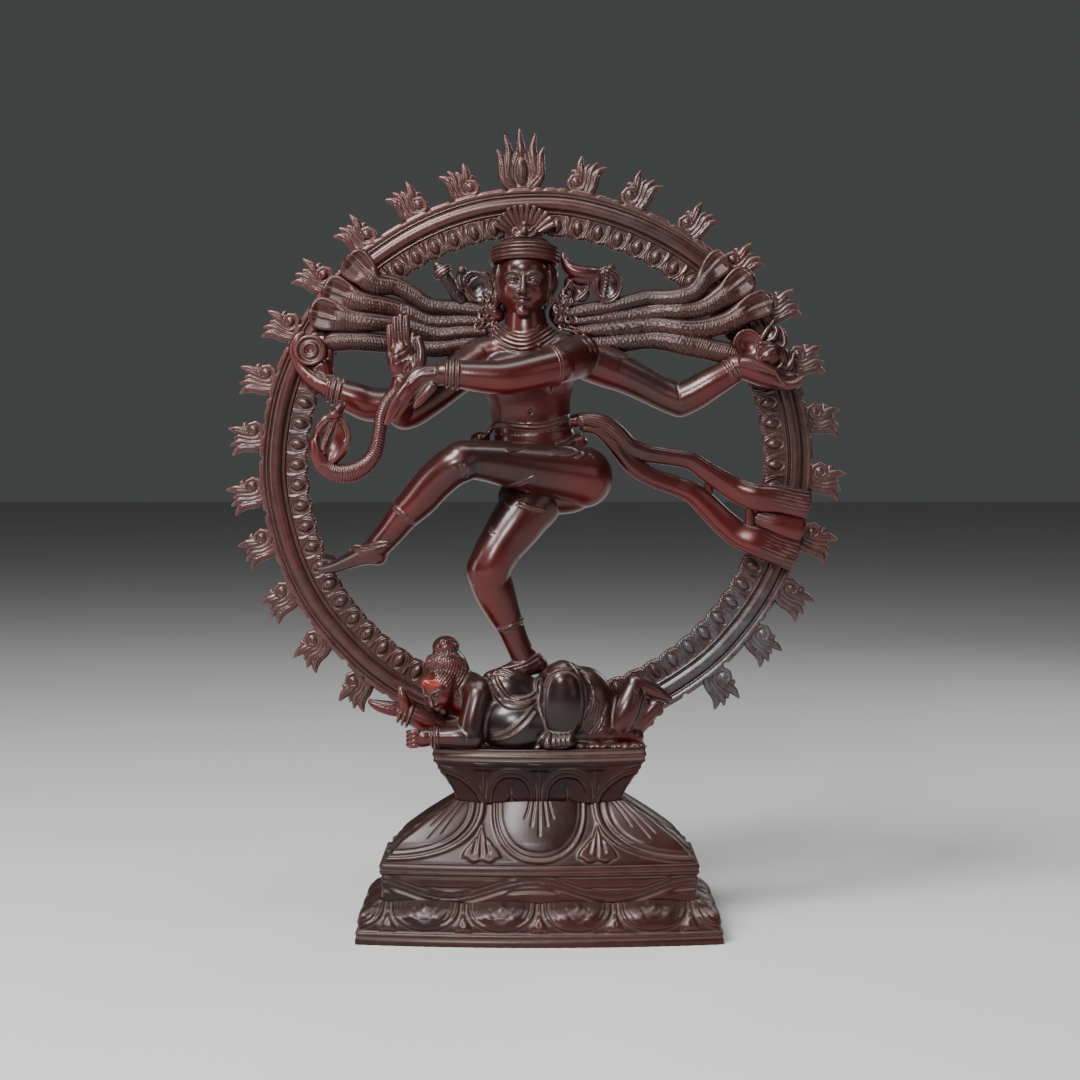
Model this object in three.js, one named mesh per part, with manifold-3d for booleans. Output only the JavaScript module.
// Nataraja statue: a four-armed dancer on a dwarf, inside a flaming aureole, on a lotus pedestal.
// Millimetres, +Z up, the dancer faces -Y. The origin is the middle of the pedestal's underside.
// Brass castings meet with a small brazing gap; two studs and a cotter clamp the stack together.
import * as THREE from "three";
import { mergeVertices } from "three/addons/utils/BufferGeometryUtils.js";
import Module from "manifold-3d";

const wasm = await Module();
wasm.setup();

// ---------------------------------------------------------------- driving dimensions
const GAP = 0.3; // brazing gap between castings
const WALL = 5; // casting wall of the hollow pedestal
const PEDESTAL_X = 2.5; // the pedestal stands a little to the dancer's left of the ring

const BASE = { top: 29.3, flange: 5 };
const BAND_TOP = 57.2;
const DOME_TOP = 99.9;
const CUP_TOP = 131.1;
const SLAB_TOP = 141.6;

const RING = { z: 353.4, outer: 211.5, inner: 190.8, front: 8, back: 20 };
const FRIEZE = { outer: 190.2, inner: 174.6, front: 10, back: 17.5 };
const RING_SEGMENTS = 48;
const TANG = { halfWidth: 10, front: 10, back: 18, bottom: 118 };
const COTTER = { halfLength: 18, size: 4, z: 129 };

const STUD = { radius: 4, bottom: 5, top: 158, xs: [-28, 30], y: -12, clearance: 0.35 };
const CROSS_BAR = { halfLength: 112, halfWidth: 11, thickness: 8 };
const WASHER = { radius: 9, thickness: 1.3 };
const NUT = { acrossCorners: 15, height: 6.5 };

const FLAME = { front: 10.5, back: 17.5, foot: 0.5 };
const RIGHT_FLAMES = { first: 8.9, pitch: 11.95, count: 12 }; // degrees clockwise from the top
const LEFT_FLAMES = { first: -14.6, pitch: -11.5, count: 12 };
const TOP_FLAME_ANGLE = -2.8;

const ROUND_SIDES = 12;

// ---------------------------------------------------------------- materials
const patina = new THREE.MeshStandardMaterial({ color: 0x4a1f18, roughness: 0.38, metalness: 0.8 });
const steel = new THREE.MeshStandardMaterial({ color: 0x8d8f92, roughness: 0.45, metalness: 1 });

// ---------------------------------------------------------------- solids from three.js shapes
function solidOf(geometry) {
  const bare = geometry.index ? geometry.toNonIndexed() : geometry.clone();
  bare.deleteAttribute("normal");
  bare.deleteAttribute("uv");
  const merged = mergeVertices(bare, 1e-3);
  const mesh = new wasm.Mesh({
    numProp: 3,
    vertProperties: merged.attributes.position.array,
    triVerts: new Uint32Array(merged.index.array),
  });
  return new wasm.Manifold(mesh);
}

function geometryOf(solid) {
  const mesh = solid.getMesh();
  const geometry = new THREE.BufferGeometry();
  geometry.setAttribute("position", new THREE.BufferAttribute(mesh.vertProperties, mesh.numProp));
  geometry.setIndex(new THREE.BufferAttribute(mesh.triVerts, 1));
  return geometry;
}

const union = (solids) => solids.reduce((all, next) => all.add(next));

// The solid with each vertex moved out along its normal, used to cut a neighbour with room to spare.
function grown(solid, by = 0.5) {
  const geometry = geometryOf(solid);
  geometry.computeVertexNormals();
  const position = geometry.attributes.position;
  const normal = geometry.attributes.normal;
  for (let i = 0; i < position.count; i++) {
    position.setXYZ(
      i,
      position.getX(i) + normal.getX(i) * by,
      position.getY(i) + normal.getY(i) * by,
      position.getZ(i) + normal.getZ(i) * by,
    );
  }
  geometry.deleteAttribute("normal");
  return solidOf(geometry);
}

const largestBody = (solid) =>
  solid.decompose().reduce((best, next) => (next.volume() > best.volume() ? next : best));

// A closed body through rings of points, each ring with the same count, capped by fans.
function loft(rings) {
  const positions = [];
  const index = [];
  const sides = rings[0].length;
  rings.flat().forEach((p) => positions.push(p.x, p.y, p.z));
  for (let ring = 0; ring + 1 < rings.length; ring++) {
    for (let side = 0; side < sides; side++) {
      const a = ring * sides + side;
      const b = ring * sides + ((side + 1) % sides);
      index.push(a, b, a + sides, b, b + sides, a + sides);
    }
  }
  [0, rings.length - 1].forEach((ring, end) => {
    const middle = new THREE.Vector3();
    rings[ring].forEach((p) => middle.addScaledVector(p, 1 / sides));
    positions.push(middle.x, middle.y, middle.z);
    const hub = positions.length / 3 - 1;
    for (let side = 0; side < sides; side++) {
      const a = ring * sides + side;
      const b = ring * sides + ((side + 1) % sides);
      index.push(...(end ? [hub, a, b] : [hub, b, a]));
    }
  });
  const geometry = new THREE.BufferGeometry();
  geometry.setAttribute("position", new THREE.Float32BufferAttribute(positions, 3));
  geometry.setIndex(index);
  const made = solidOf(geometry);
  if (made.volume() > 0) return made;
  geometry.setIndex(index.map((_, i) => index[i - (i % 3) + 2 - (i % 3)]));
  return solidOf(geometry);
}

// A tapering tube through [x, y, z, radius, depth radius] stations, smooth between them.
function sweep(stations, { steps = 12, sides = 8 } = {}) {
  const path = new THREE.CatmullRomCurve3(stations.map(([x, y, z]) => new THREE.Vector3(x, y, z)));
  const last = stations.length - 1;
  const rings = [];
  for (let step = 0; step <= steps; step++) {
    const t = step / steps;
    const before = Math.min(last - 1, Math.floor(t * last));
    const mix = t * last - before;
    const radiusAt = (slot) =>
      THREE.MathUtils.lerp(stations[before][slot], stations[before + 1][slot], mix);
    const wide = radiusAt(3);
    const deep = stations[0].length > 4 ? radiusAt(4) : wide;
    const along = path.getTangent(t);
    const side = new THREE.Vector3(0, 1, 0).cross(along).normalize();
    const out = along.clone().cross(side);
    const middle = path.getPoint(t);
    rings.push(
      Array.from({ length: sides }, (_, i) => {
        const turn = (i / sides) * 2 * Math.PI;
        return middle
          .clone()
          .addScaledVector(side, wide * Math.cos(turn))
          .addScaledVector(out, deep * Math.sin(turn));
      }),
    );
  }
  return loft(rings);
}

// A tapered bar with round ends between two [x, y, z, radius] stations.
function capsule([ax, ay, az, ra], [bx, by, bz, rb], sides = 8) {
  const from = new THREE.Vector3(ax, ay, az);
  const axis = new THREE.Vector3(bx, by, bz).sub(from);
  const length = axis.length();
  const slant = Math.SQRT1_2;
  const profile = [
    [0, -ra],
    [ra * slant, -ra * slant],
    [ra, 0],
    [rb, length],
    [rb * slant, length + rb * slant],
    [0, length + rb],
  ].map(([r, h]) => new THREE.Vector2(r, h));
  const geometry = new THREE.LatheGeometry(profile, sides);
  geometry.applyQuaternion(
    new THREE.Quaternion().setFromUnitVectors(new THREE.Vector3(0, 1, 0), axis.normalize()),
  );
  return solidOf(geometry.translate(from.x, from.y, from.z));
}

function ellipsoid([x, y, z], [rx, ry, rz], [around, down] = [12, 8]) {
  const geometry = new THREE.SphereGeometry(1, around, down).rotateX(Math.PI / 2);
  return solidOf(geometry.scale(rx, ry, rz).translate(x, y, z));
}

function box([x0, y0, z0], [x1, y1, z1]) {
  const geometry = new THREE.BoxGeometry(x1 - x0, y1 - y0, z1 - z0);
  return solidOf(geometry.translate((x0 + x1) / 2, (y0 + y1) / 2, (z0 + z1) / 2));
}

// A shape drawn in X and Z, front view, as a plate from y = front to y = back.
function plate(shape, front, back, curveSegments = 6) {
  const geometry = new THREE.ExtrudeGeometry(shape, {
    depth: back - front,
    bevelEnabled: false,
    curveSegments,
  });
  return solidOf(geometry.rotateX(Math.PI / 2).translate(0, back, 0));
}

function cylinder(radius, bottom, top, x, y, sides = ROUND_SIDES) {
  const geometry = new THREE.CylinderGeometry(radius, radius, top - bottom, sides);
  return solidOf(geometry.rotateX(Math.PI / 2).translate(x, y, (bottom + top) / 2));
}

const outline = (points) => new THREE.Shape(points.map(([x, z]) => new THREE.Vector2(x, z)));

// ---------------------------------------------------------------- pedestal
// Plan outline at one height: straight ends, bowed front and back.
function bowedRing({ z, halfWidth, halfDepth, bow }) {
  const points = [];
  const edgeSteps = 4;
  for (const front of [1, -1]) {
    for (let i = 0; i <= edgeSteps; i++) {
      const across = (2 * i) / edgeSteps - 1;
      const depth = halfDepth - bow * across * across;
      points.push(new THREE.Vector3(PEDESTAL_X + front * across * halfWidth, -front * depth, z));
    }
  }
  return points;
}

const tier = (levels) =>
  loft(levels.map(([z, halfWidth, halfDepth, bow]) => bowedRing({ z, halfWidth, halfDepth, bow })));

// The same levels shrunk by the wall, running a little past both faces.
function bore(levels) {
  const inner = levels.map(([z, w, d, bow]) => [z, w - WALL, d - WALL, bow]);
  inner[0] = [inner[0][0] - 1, ...inner[0].slice(1)];
  const end = inner.length - 1;
  inner[end] = [inner[end][0] + 1, ...inner[end].slice(1)];
  return tier(inner);
}

// Levels are [z, half width, half depth at the middle, bow of the long edges].
const BASE_LEVELS = [
  [0, 136.7, 74, 12],
  [6.4, 136.7, 74, 12],
  [7.2, 134.6, 72.2, 12],
  [13.2, 134.6, 72.2, 12],
  [14.6, 136, 73.4, 12],
  [19.5, 134, 71.6, 12],
  [24.5, 127, 65.5, 11],
  [BASE.top, 118.5, 58.5, 10],
];
const BAND_LEVELS = [
  [BASE.top + GAP, 117.8, 57, 10],
  [47.6, 117.8, 57, 10],
  [48.8, 119.6, 58.4, 10],
  [56.2, 119.6, 58.4, 10],
  [BAND_TOP, 117.6, 56.6, 10],
];
const DOME_LEVELS = [
  [BAND_TOP + GAP, 116.8, 56, 10],
  [61, 116, 55.4, 10],
  [72, 103, 49.5, 9],
  [86, 83, 40, 8],
  [DOME_TOP, 62.8, 31, 8],
];
const CUP_LEVELS = [
  [DOME_TOP + GAP, 62.8, 31, 8],
  [106, 64.6, 31.8, 8],
  [118, 70.8, 35.6, 9],
  [127, 76.6, 39.8, 11],
  [CUP_TOP, 78.6, 41, 12],
];
const SLAB_LEVELS = [
  [CUP_TOP + GAP, 80, 42, 12],
  [135.4, 80, 42, 12],
  [136, 79, 41.2, 12],
  [137, 79, 41.2, 12],
  [137.6, 80, 42, 12],
  [SLAB_TOP, 80, 42, 12],
];

const studHoles = (bottom, top) =>
  union(STUD.xs.map((x) => cylinder(STUD.radius + STUD.clearance, bottom, top, x, STUD.y)));

// Lowest casting: plinth and small lotus petals, with an inward flange that the cross bar pulls on.
function basePlinth() {
  const flangeUnder = BASE.top - BASE.flange;
  const cavity = tier([
    [-1, 128, 65, 11],
    [14, 128, 65, 11],
    [flangeUnder, 118, 57, 10],
  ]);
  const throat = tier([
    [flangeUnder - 1, 100, 42, 8],
    [BASE.top + 1, 100, 42, 8],
  ]);
  return tier(BASE_LEVELS).subtract(cavity).subtract(throat);
}

const waveBand = () => tier(BAND_LEVELS).subtract(bore(BAND_LEVELS));
const lotusDome = () => tier(DOME_LEVELS).subtract(bore(DOME_LEVELS));
const lotusCup = () => tier(CUP_LEVELS).subtract(bore(CUP_LEVELS));

function topSlab() {
  const room = 0.4;
  const slot = box(
    [-TANG.halfWidth - room, TANG.front - room, 120],
    [TANG.halfWidth + room, TANG.back + room, 150],
  );
  return tier(SLAB_LEVELS).subtract(slot).subtract(studHoles(120, 150));
}

// ---------------------------------------------------------------- fasteners
const BAR_TOP = BASE.top - BASE.flange - GAP;
const BAR_BOTTOM = BAR_TOP - CROSS_BAR.thickness;
const WASHER_TOP = BAR_BOTTOM - GAP;
const NUT_TOP = WASHER_TOP - WASHER.thickness - GAP;

function crossBar() {
  const { halfLength, halfWidth } = CROSS_BAR;
  const bar = box(
    [PEDESTAL_X - halfLength, STUD.y - halfWidth, BAR_BOTTOM],
    [PEDESTAL_X + halfLength, STUD.y + halfWidth, BAR_TOP],
  );
  return bar.subtract(studHoles(0, 40));
}

const stud = (x) => cylinder(STUD.radius, STUD.bottom, STUD.top, x, STUD.y);

function washer(x) {
  const disc = cylinder(WASHER.radius, WASHER_TOP - WASHER.thickness, WASHER_TOP, x, STUD.y, 20);
  return disc.subtract(cylinder(STUD.radius + STUD.clearance, 0, 40, x, STUD.y));
}

function hexNut(x) {
  const body = cylinder(NUT.acrossCorners / 2, NUT_TOP - NUT.height, NUT_TOP, x, STUD.y, 6);
  return body.subtract(cylinder(STUD.radius + STUD.clearance, 0, 40, x, STUD.y));
}

function ringCotter() {
  const { halfLength, size, z } = COTTER;
  const middleY = (TANG.front + TANG.back) / 2;
  const wedge = (x, half) =>
    [
      [-half, -half],
      [half, -half],
      [half, half],
      [-half, half],
    ].map(([y, dz]) => new THREE.Vector3(x, middleY + y, z + dz));
  return loft([wedge(-halfLength, size / 2 - 0.5), wedge(halfLength, size / 2)]);
}

// ---------------------------------------------------------------- aureole
// A closed section of [radius, y] points turned about the aureole's axis.
function hoop(section) {
  const profile = section.map(([radius, y]) => new THREE.Vector2(radius, y));
  return solidOf(new THREE.LatheGeometry(profile, RING_SEGMENTS)).translate([0, 0, RING.z]);
}

// Moulded ring with a foot that stands on the slab and a tang that passes through it.
function aureoleRing() {
  const { outer, inner, front, back, z } = RING;
  const ring = hoop([
    [inner, front + 2.2],
    [inner + 3, front + 0.8],
    [inner + 9.5, front],
    [outer - 1.2, front + 2.4],
    [outer, back - 2],
    [outer - 2, back],
    [inner, back - 1],
    [inner, front + 2.2],
  ]);
  const foot = box([-30, front + 3, SLAB_TOP + GAP], [30, back - 1, z - outer + 9]);
  const tang = box(
    [-TANG.halfWidth, TANG.front, TANG.bottom],
    [TANG.halfWidth, TANG.back, z - outer + 5],
  );
  const room = 0.4;
  const half = COTTER.size / 2 + room;
  const middleY = (TANG.front + TANG.back) / 2;
  const cotterHole = box(
    [-20, middleY - half, COTTER.z - half],
    [20, middleY + half, COTTER.z + half],
  );
  return union([ring, foot, tang.subtract(cotterHole)]);
}

// Row of petals inside the ring, as the flat band that its petals fill.
function petalFrieze() {
  const { outer, inner, front, back } = FRIEZE;
  return hoop([
    [inner, front],
    [outer, front],
    [outer, back],
    [inner, back],
    [inner, front],
  ]);
}

// Outlines of the flames, foot on the ring: across, then out from the ring.
const SMALL_FLAME = [
  [-7.5, 0],
  [8.5, 0],
  [10, 6],
  [11.5, 13],
  [15.5, 23],
  [9, 18.5],
  [7, 24.6],
  [2.6, 18.5],
  [-3.7, 26.8],
  [-5.4, 16.3],
  [-9.4, 12],
  [-9.4, 6],
];
const TOP_FLAME = [
  [-9, 0],
  [9.5, 0],
  [14.5, 8],
  [14.8, 17],
  [13.4, 23],
  [17, 33],
  [10, 29],
  [7.6, 33.5],
  [10.7, 42.3],
  [3.6, 34],
  [-0.3, 45.6],
  [-5, 34],
  [-13.4, 41.2],
  [-9.4, 33.5],
  [-11, 28],
  [-18.7, 29.5],
  [-15.4, 21],
  [-16.4, 14],
  [-14, 7],
];

function flame(points, clockwiseDegrees, mirrored) {
  const turn = THREE.MathUtils.degToRad(clockwiseDegrees);
  const foot = RING.outer + FLAME.foot;
  const placed = points.map(([across, out]) => {
    const u = mirrored ? -across : across;
    const v = foot + out;
    return [u * Math.cos(turn) + v * Math.sin(turn), RING.z - u * Math.sin(turn) + v * Math.cos(turn)];
  });
  return plate(outline(placed), FLAME.front, FLAME.back);
}

// ---------------------------------------------------------------- dancer
// Each station is [x, y, z, radius] or [x, y, z, radius in the front view, radius in depth].
const TORSO = [
  [8, -4, 325, 13, 11],
  [7, -4, 333, 27, 19],
  [6, -4, 349, 31, 22],
  [2, -4, 366, 30, 20],
  [-3, -4, 382, 29, 18],
  [-5, -4, 402, 32, 19],
  [-7, -4, 424, 39, 21],
  [-7, -4, 438, 36, 19],
  [-7.4, -4, 446, 24, 16],
  [-8, -5, 452, 14.5, 14],
  [-8.3, -6, 462, 13.6, 13.6],
];
const torso = () => {
  const section = ([x, y, z, wide, deep]) =>
    Array.from({ length: 16 }, (_, i) => {
      const turn = (i / 16) * 2 * Math.PI;
      return new THREE.Vector3(x + wide * Math.cos(turn), y + deep * Math.sin(turn), z);
    });
  return loft(TORSO.map(section));
};

const HEAD = { middle: [-9.6, -7, 488], radii: [21.5, 24, 29] };
const head = () =>
  union([
    ellipsoid(HEAD.middle, HEAD.radii),
    ellipsoid([-9.4, -1, 494], [25.4, 24, 22]),
  ]);

function headdress() {
  const profile = [
    [0, 507],
    [26, 507],
    [26.6, 513],
    [25.4, 519.5],
    [18, 522],
    [17, 527],
    [12, 535],
    [0, 539],
  ].map(([r, z]) => new THREE.Vector2(r, z));
  const geometry = new THREE.LatheGeometry(profile, 18).rotateX(Math.PI / 2);
  return solidOf(geometry.translate(-9.2, -5, 0));
}

// Fan of feathers standing behind the topknot.
function featherFan() {
  const middle = [-9.1, 524];
  const rays = 9;
  const spread = THREE.MathUtils.degToRad(64);
  const points = [];
  for (let i = 0; i < 2 * rays - 1; i++) {
    const turn = spread - (spread * i) / (rays - 1);
    const reach = i % 2 ? 22.5 : 26.5;
    points.push([middle[0] - reach * Math.sin(turn), middle[1] + reach * Math.cos(turn)]);
  }
  points.reverse();
  points.unshift([middle[0] - 10, middle[1] - 8], [middle[0] + 10, middle[1] - 8]);
  return plate(outline(points), 2.6, 7.2);
}

const ellipsePlate = (x, z, rx, rz, tilt, front, back) => {
  const shape = new THREE.Shape();
  shape.absellipse(x, z, rx, rz, 0, 2 * Math.PI, false, tilt);
  return plate(shape, front, back, 9);
};

const earOrnamentLeft = () =>
  union([
    ellipsePlate(-47, 485, 9.6, 13.6, 0.5, -2.5, 4.5),
    capsule([-57, 1, 484, 7], [-71, 1, 499.5, 6]),
    capsule([-71, 1, 499.5, 3.4], [-74.5, 1, 503, 3]),
    ellipsoid([-61, -1, 503.5], [3.4, 3.4, 3.4], [8, 6]),
    capsule([-61, 1, 500, 3], [-52, 1, 494, 3]),
  ]);

const earOrnamentRight = () =>
  union([
    ellipsePlate(38, 486, 9, 12.6, -0.55, -2.5, 4.5),
    ellipsoid([52, 0, 490], [11, 7, 15.4]),
    capsule([31, 1, 496, 4.5], [44, 1, 500, 5]),
    capsule([31, 1, 497, 4], [20.8, 1, 511.5, 1.4]),
  ]);

// Arms: upper arm, elbow, forearm, hand.
const frontLeftArm = () =>
  union([
    sweep(
      [
        [38, -8, 436, 16],
        [10.5, -28, 426.5, 14.2],
        [-17.8, -40, 418.5, 13],
        [-41.4, -44, 419.5, 10.6],
        [-67, -45, 421, 9],
      ],
      { steps: 12 },
    ),
    sweep([
      [-64, -45, 421, 8.6, 8],
      [-85, -46, 411, 7.6, 5],
      [-99, -47, 397.5, 5.4, 4],
      [-111, -48, 384.5, 2.2, 2.4],
    ], { steps: 9 }),
  ]);

const frontRightArm = () =>
  union([
    sweep([
      [-46, -6, 430, 15],
      [-72, -12, 410.5, 12.8],
      [-93, -18, 394, 11.2],
      [-100.5, -30, 397, 9.6],
      [-98.5, -40, 413, 7.2],
      [-98, -42, 420, 6.8],
    ], { steps: 14 }),
    sweep([
      [-98, -42, 417, 6.6, 4.6],
      [-99, -42, 430, 9.2, 4.4],
      [-100.5, -42, 447, 9.6, 3.6],
      [-101, -42, 469, 6.6, 2.6],
    ], { steps: 6 }),
    capsule([-89, -42, 430, 3.4], [-84, -43, 447, 2.6], 6),
  ]);

const backRightArm = () =>
  union([
    sweep([
      [-46, 3, 432, 15],
      [-79, 2, 412, 12.8],
      [-106, 0, 399.5, 11.6],
      [-132, -2, 405, 10.8],
      [-156, -4, 412, 8.6],
    ]),
    sweep([
      [-154, -4, 411.5, 7.6],
      [-174, -4, 420, 6.4],
      [-187, -4, 432, 5],
      [-190, -4, 444, 4.2],
      [-184, -4, 453, 3.4],
    ], { steps: 10 }),
  ]);

const backLeftArm = () =>
  union([
    sweep([
      [44, 3, 432, 15.2],
      [79, 2, 416.6, 13.7],
      [110.9, 0, 401.6, 12.2],
      [130.5, -2, 414, 11],
      [152, -4, 427, 8.8],
    ]),
    sweep([
      [151, -4, 426.5, 7.8],
      [168, -4, 421.5, 6.6],
      [186, -5, 414, 5.2],
      [201, -6, 415, 3],
    ], { steps: 9 }),
  ]);

// Hourglass drum, seen end on.
function handDrum() {
  const profile = [
    [0, -10],
    [12.2, -10],
    [12.2, -7],
    [8, -1.5],
    [12.2, 4],
    [12.2, 7.2],
    [0, 7.2],
  ].map(([r, y]) => new THREE.Vector2(r, y));
  return solidOf(new THREE.LatheGeometry(profile, 16)).translate([-175, 0, 441.5]);
}

const fireBowl = () =>
  union([
    ellipsoid([175.5, -3, 433.5], [12, 8.6, 9.4], [10, 6]),
    sweep([
      [177, -1, 438, 9, 6],
      [181, -0.5, 449, 8.6, 5],
      [182, -0.5, 458, 2, 2],
    ], { steps: 4 }),
  ]);

const raisedLeg = () =>
  union([
    sweep([
      [34, -10, 346, 20.5, 20],
      [10.5, -20, 350, 19.5, 18],
      [-15.7, -30, 354.5, 16, 15.4],
      [-41.6, -38, 358, 12.8, 13],
      [-58, -41, 355, 12],
      [-77, -37, 341, 11.8],
      [-99, -31, 316.5, 10.7],
      [-113, -27, 300.6, 8.9],
      [-123, -24, 288, 7.4],
    ].map(([x, y, z, wide, deep]) => [x, y, z, wide, deep ?? wide]), { steps: 13 }),
    sweep([
      [-117, -24, 283, 6.6],
      [-138, -18, 281.5, 5.6],
      [-152, -11, 277.5, 4.6],
      [-166.5, -4, 274.6, 2.8],
    ], { steps: 7 }),
  ]);

const standingLeg = () =>
  union([
    sweep([
      [8, -5, 329, 20, 19],
      [-12, -14, 304.6, 17.6, 17],
      [-35.5, -22, 278, 14.4, 14.4],
      [-30.5, -17, 252, 13, 13],
      [-20, -12, 231.5, 9.9, 9.9],
      [-12.5, -8, 216, 9.6, 9.6],
      [-7, -6, 205, 9, 9],
    ], { steps: 13 }),
    sweep([
      [7, -5, 200, 6.8],
      [-13, -9, 198.5, 8.2],
      [-28, -12, 196, 5.8],
      [-42.5, -14, 192.6, 4],
    ], { steps: 7 }),
    cylinder(5, 186, 202, -8, -9, 10),
  ]);

// Waist sash with its two loose ends, which blow out to the ring and wrap over it.
const sash = () => {
  const girdle = solidOf(
    new THREE.LatheGeometry(
      [
        [28, -5],
        [33, -4],
        [33, 4],
        [28, 5],
        [28, -5],
      ].map(([r, h]) => new THREE.Vector2(r, h)),
      22,
    ).rotateX(Math.PI / 2).scale(1, 0.72, 1),
  ).translate([-1, -4, 379]);
  const upper = sweep([
    [27, -7, 383, 5.4, 4],
    [48, -10, 387.6, 5.6, 3.6],
    [61, -8, 384, 6, 3.4],
    [75, -5, 373, 6.1, 3.4],
    [94, -3, 364, 6.1, 3.4],
    [118, -2, 358.8, 6.4, 3.4],
    [136, -1, 348.2, 7.6, 3.4],
    [156.5, 1, 334.5, 9.9, 3.2],
    [179.5, 3, 327.6, 11.6, 2.8],
    [208.5, 4, 325.3, 12.2, 2.8],
  ], { steps: 16, sides: 6 });
  const lower = sweep([
    [28, -10, 377, 5.4, 4],
    [51.4, -10, 377.7, 6, 3.6],
    [64, -8, 366.4, 6.2, 3.4],
    [79.5, -5, 353.5, 6.8, 3.4],
    [101, -3, 344.4, 6.8, 3.4],
    [121.4, -2, 334.5, 7.6, 3.4],
    [139, -1, 315.5, 9.1, 3.4],
    [156.5, 1, 301.8, 10.6, 3.2],
    [179.5, 3, 291.9, 11.6, 2.8],
    [201.5, 4, 285, 12.2, 2.8],
  ], { steps: 16, sides: 6 });
  return union([girdle, upper, lower, capsule([128, -1.5, 350, 3], [126, -1.5, 333, 3], 8)]);
};

// Serpent locks of hair: tubes that end in a spread hood on the ring.
const LOCK_DEPTH = 5;
const lock = (stations) =>
  sweep(stations.map(([x, z, r]) => [x, 2.2, z, r, Math.min(r, LOCK_DEPTH)]), { steps: 9, sides: 6 });

const hairLocksLeft = () =>
  union([
    lock([
      [-30, 468.4, 5.5], [-54, 471.5, 6.1], [-79, 473.7, 6.5], [-92, 481.4, 6.5],
      [-106.5, 489, 6.8], [-121.7, 491.5, 8], [-131, 501, 9.6], [-136.5, 511, 8],
    ]),
    lock([
      [-33, 462.3, 5.5], [-54, 462.3, 6.5], [-79, 461.6, 6.9], [-94.4, 467.7, 6.9],
      [-113, 473.7, 7.2], [-132.4, 476.7, 8.5], [-145.3, 481.3, 10], [-156, 488, 8],
    ]),
    lock([
      [-34, 454.7, 5.5], [-54, 454, 6.5], [-73, 452.4, 6.9], [-94.4, 457.8, 6.9],
      [-113.3, 460.8, 7], [-137.7, 462.3, 8], [-152, 465.3, 10], [-166, 470, 8],
    ]),
    lock([
      [-36, 446.3, 5.5], [-57.8, 444.8, 6.5], [-80.7, 441.8, 6.9], [-113.4, 445.6, 6.9],
      [-137.7, 447.1, 7.4], [-162, 447.3, 7],
    ]),
  ]);

const hairLocksRight = () =>
  union([
    lock([
      [15, 466.8, 5.5], [41, 470.7, 6.1], [61.7, 474.5, 6.1], [83, 479.8, 6.1],
      [103.5, 479.8, 6.5], [119.4, 484.3, 6.8], [129.3, 496.5, 7.8], [139.5, 509.5, 7],
    ]),
    lock([
      [17, 460.8, 5.5], [45, 463.9, 6.5], [70, 466.1, 6.9], [95, 469.9, 6.9],
      [122.5, 471.4, 7.2], [141.5, 481.3, 8.6], [158, 496, 7.4],
    ]),
    lock([
      [19, 453.9, 5.5], [48.7, 455.5, 6.9], [86.8, 459.3, 7.2], [119.4, 456.2, 7.2],
      [143, 460.8, 7.8], [161.3, 471.4, 8.8], [174.5, 480.5, 7],
    ]),
    lock([
      [21, 445.5, 5.5], [48.7, 444.8, 7.4], [86.8, 448.6, 7.6], [119.4, 444, 8.2],
      [138.4, 439.6, 7.6], [152.5, 439.6, 6],
    ]),
  ]);

// Cobra looped over the forearm, with its hood raised.
const cobra = () =>
  union([
    sweep([
      [-110.5, -54.5, 401, 5],
      [-115, -52, 385.5, 5.1],
      [-115.5, -46, 370, 5.3],
      [-121, -42, 359, 5.6],
      [-132, -40, 351.5, 5.9],
      [-144, -40, 348.6, 6.3],
      [-157, -40, 360, 7],
    ], { steps: 14, sides: 8 }),
    ellipsoid([-152.5, -41, 370], [11.6, 5.4, 20], [12, 8]),
    capsule([-149, -42, 386, 3.8], [-148, -44, 391.5, 3.6], 8),
  ]);

// ---------------------------------------------------------------- dwarf under the dancer's foot
const flatUnder = (solid, z) => solid.subtract(box([-200, -200, 0], [200, 200, z]));

function dwarf() {
  const coarse = [10, 6];
  const body = union([
    box([-52, -27, SLAB_TOP], [66, 4, 156]),
    sweep([
      [-62, -9, 164, 13],
      [-48, -10, 167, 17.5],
      [-23, -12, 169, 21],
      [8, -12, 169, 21],
      [34, -10, 171, 23],
      [56, -8, 166, 17],
    ], { steps: 8, sides: 10 }),
    ellipsoid([37, -8, 171], [23.5, 15, 27.5], [12, 7]),
    ellipsoid([20.2, -30, 171], [12.4, 10, 22], coarse),
    ellipsoid([17, -38, 146], [12.4, 7.4, 5.6], coarse),
    ellipsoid([-70, -20, 186], [12.8, 12.4, 20.6], coarse),
    ellipsoid([-68, -14, 200], [15, 13.4, 14.4], coarse),
    ellipsoid([-68.4, -13, 217.6], [8.8, 8.8, 8.8], [8, 6]),
    sweep([
      [-40, -20, 184, 9],
      [-49, -29, 168, 8.6],
      [-60, -34, 152, 7.2],
      [-88, -34, 149.5, 5.4],
    ], { steps: 8 }),
    sweep([
      [-52, -12, 157, 7.6],
      [-74.5, -16, 160.2, 6.2],
      [-100, -18, 169, 5],
    ], { steps: 4, sides: 6 }),
    sweep([
      [40, -10, 153, 10.4],
      [60, -7, 150, 10],
      [71, -5, 163, 10],
      [78, -3, 180, 8.2],
      [87, -3, 184, 6],
      [104, -3, 174, 3],
    ], { steps: 12 }),
  ]);
  return flatUnder(body, SLAB_TOP + GAP).subtract(studHoles(130, STUD.top + 1.5));
}

const dwarfSerpent = () =>
  sweep([
    [-99, -20, 166.6, 4.2],
    [-112, -21, 166.6, 3.8],
    [-122, -21, 170.6, 3],
    [-128, -21, 178, 1.8],
  ], { steps: 8, sides: 6 });

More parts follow.
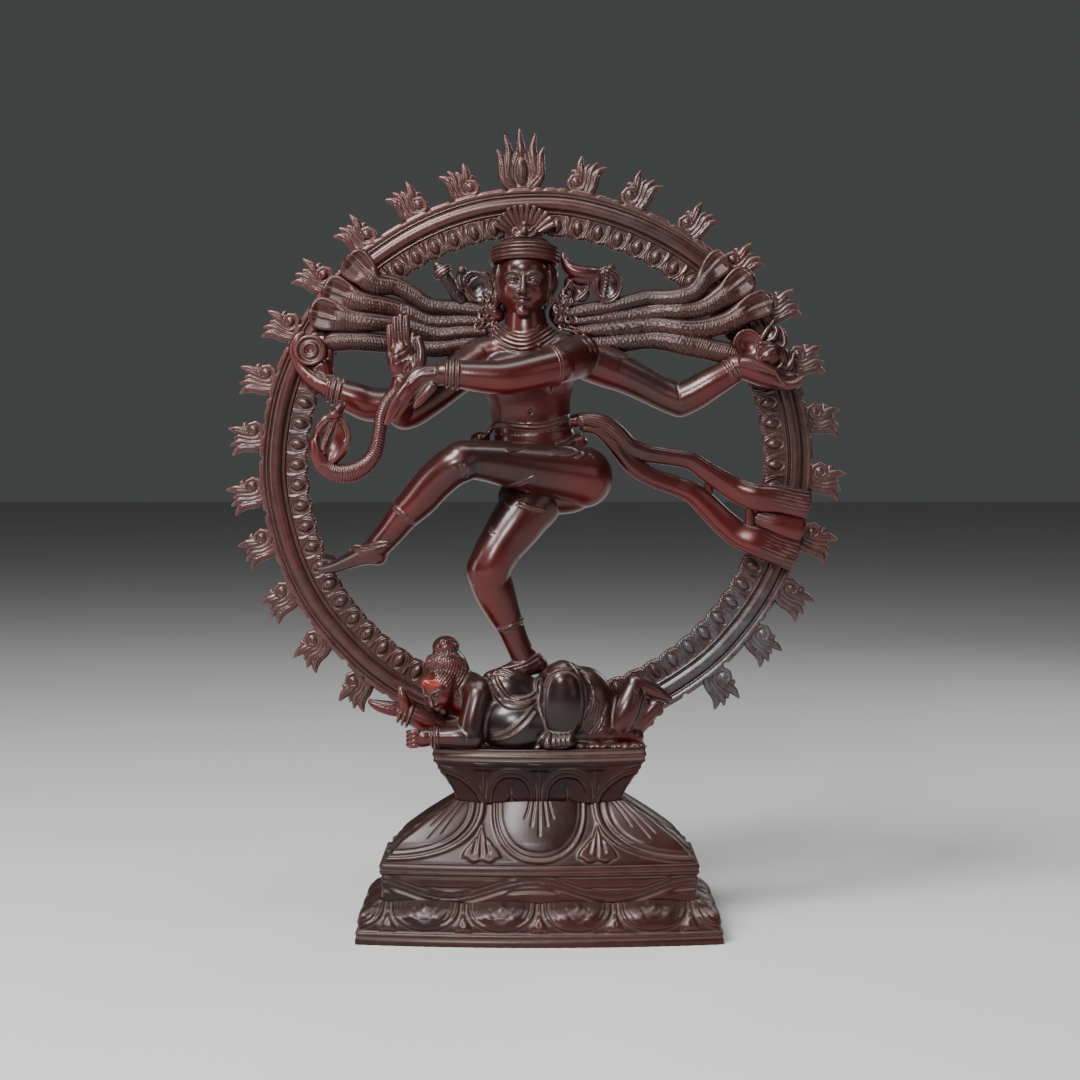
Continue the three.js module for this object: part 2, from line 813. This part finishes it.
// ---------------------------------------------------------------- assembly
// In this order each casting keeps its shape, and the ones after it are cut to clear it.
const castings = [
  ["base_plinth", basePlinth()],
  ["wave_band", waveBand()],
  ["lotus_dome", lotusDome()],
  ["lotus_cup", lotusCup()],
  ["top_slab", topSlab()],
  ["aureole_ring", aureoleRing()],
  ["petal_frieze", petalFrieze()],
  ["torso", torso()],
  ["standing_leg", standingLeg()],
  ["raised_leg", raisedLeg()],
  ["headdress", headdress()],
  ["head", head()],
  ["front_left_arm", frontLeftArm()],
  ["front_right_arm", frontRightArm()],
  ["back_right_arm", backRightArm()],
  ["back_left_arm", backLeftArm()],
  ["hand_drum", handDrum()],
  ["fire_bowl", fireBowl()],
  ["cobra", cobra()],
  ["dwarf", dwarf()],
  ["dwarf_serpent", dwarfSerpent()],
  ["feather_fan", featherFan()],
  ["hair_locks_left", hairLocksLeft()],
  ["hair_locks_right", hairLocksRight()],
  ["ear_ornament_left", earOrnamentLeft()],
  ["ear_ornament_right", earOrnamentRight()],
  ["sash", sash()],
  ["flame_top", flame(TOP_FLAME, TOP_FLAME_ANGLE, false)],
];
for (const [side, { first, pitch, count }] of [
  ["right", RIGHT_FLAMES],
  ["left", LEFT_FLAMES],
]) {
  for (let i = 0; i < count; i++) {
    const name = `flame_${side}_${String(i + 1).padStart(2, "0")}`;
    castings.push([name, flame(SMALL_FLAME, first + pitch * i, side === "left")]);
  }
}

const touching = (a, b) => {
  const [one, two] = [a.boundingBox(), b.boundingBox()];
  return [0, 1, 2].every((i) => one.min[i] <= two.max[i] + 1 && two.min[i] <= one.max[i] + 1);
};

const fitted = castings.map(([name, whole], rank) => {
  const cut = castings
    .slice(0, rank)
    .filter(([, earlier]) => touching(whole, earlier))
    .map(([, earlier]) => grown(earlier))
    .reduce((solid, room) => (solid.intersect(room).isEmpty() ? solid : solid.subtract(room)), whole);
  return [name, largestBody(cut)];
});

const fasteners = [
  ["cross_bar", crossBar()],
  ["stud_left", stud(STUD.xs[0])],
  ["stud_right", stud(STUD.xs[1])],
  ["washer_left", washer(STUD.xs[0])],
  ["washer_right", washer(STUD.xs[1])],
  ["hex_nut_left", hexNut(STUD.xs[0])],
  ["hex_nut_right", hexNut(STUD.xs[1])],
  ["ring_cotter", ringCotter()],
];

const statue = new THREE.Group();
function place(name, solid, material) {
  const mesh = new THREE.Mesh(geometryOf(solid), material);
  mesh.name = name;
  statue.add(mesh);
}
fitted.forEach(([name, solid]) => place(name, solid, patina));
fasteners.forEach(([name, solid]) => place(name, solid, steel));

export default statue;
